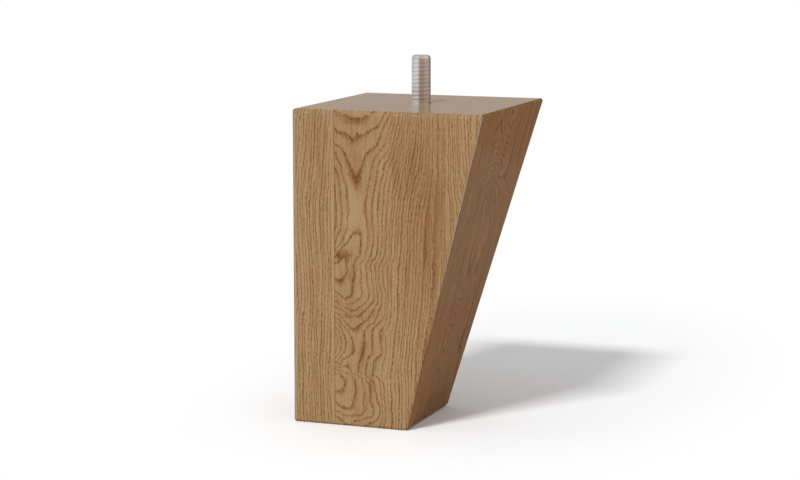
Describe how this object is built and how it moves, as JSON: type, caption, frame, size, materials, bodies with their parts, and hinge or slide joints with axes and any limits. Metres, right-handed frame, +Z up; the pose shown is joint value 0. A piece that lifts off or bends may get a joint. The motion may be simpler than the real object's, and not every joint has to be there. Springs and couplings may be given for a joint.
{
  "type": "wooden furniture leg",
  "caption": "Square oak furniture leg with two upright and two leaning faces, glued up from staves, with a threaded hanger bolt standing out of its top.",
  "frame": {"origin": "where the bolt's axis meets the leg's top face", "axes": "+Z up along the bolt, away from the leg; the front face looks towards -Y and the left face towards -X, and the two leaning faces look towards +X and +Y"},
  "size_m": [0.0818, 0.0818, 0.15],
  "materials": {
    "oak": "sanded oak with a thin clear satin lacquer",
    "zinc_plated_steel": "bright zinc plating"
  },
  "bodies": {
    "root": {"left_stave": "oak", "front_stave": "oak", "core_stave": "oak", "hanger_bolt": "zinc_plated_steel"}
  },
  "joints": []
}
